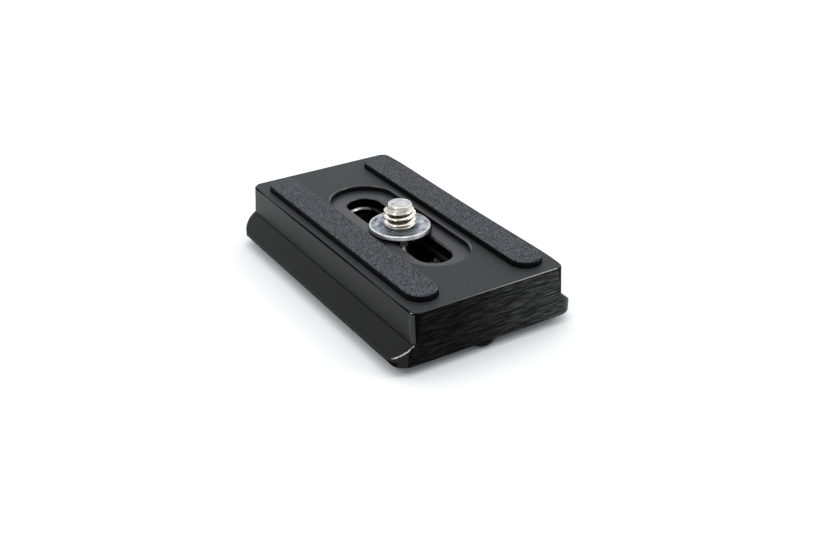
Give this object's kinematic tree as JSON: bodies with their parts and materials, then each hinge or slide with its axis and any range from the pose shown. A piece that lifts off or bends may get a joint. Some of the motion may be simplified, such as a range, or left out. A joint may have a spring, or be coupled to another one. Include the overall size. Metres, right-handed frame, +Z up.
{
  "type": "tripod quick release plate",
  "caption": "Rectangular camera plate with flared clamping rails, rubber grip strips and a captive camera screw that slides in a stepped slot; it locks into the clamp of a tripod head.",
  "frame": {"origin": "middle of the plate on the surface that it stands on, level with the lower ends of the stop screws and of the camera screw", "axes": "+X across the plate, +Y along the slot and the rails, +Z up along the camera screw towards the camera"},
  "size_m": [0.04, 0.064, 0.0171],
  "materials": {
    "black_anodised_aluminium": "bead blasted and black anodised",
    "grip_rubber": "moulded with a fine grain",
    "zinc_plated_steel": "bright zinc plated",
    "nickel_plated_steel": "turned and bright nickel plated",
    "steel_wire": "drawn stainless wire",
    "black_oxide_steel": "black oxide"
  },
  "bodies": {
    "plate": {"plate_body": "black_anodised_aluminium", "grip_strip_left": "grip_rubber", "grip_strip_right": "grip_rubber", "stop_screws": "black_oxide_steel"},
    "washer": {"retaining_washer": "zinc_plated_steel"},
    "screw": {"camera_screw": "nickel_plated_steel"},
    "ring": {"d_ring": "steel_wire"}
  },
  "joints": [
    {"name": "screw_slide", "type": "slide", "parent": "plate", "child": "washer", "axis": [0, 1, 0], "range_m": [-0.01225, 0.01415]},
    {"name": "screw_turn", "type": "hinge", "parent": "washer", "child": "screw", "pos_m": [0, -0.00095, 0], "axis": [0, 0, 1], "continuous": true},
    {"name": "ring_fold", "type": "hinge", "parent": "screw", "child": "ring", "pos_m": [0, -0.00095, 0.00335], "axis": [-1, 0, 0], "range_deg": [0, 180]}
  ]
}
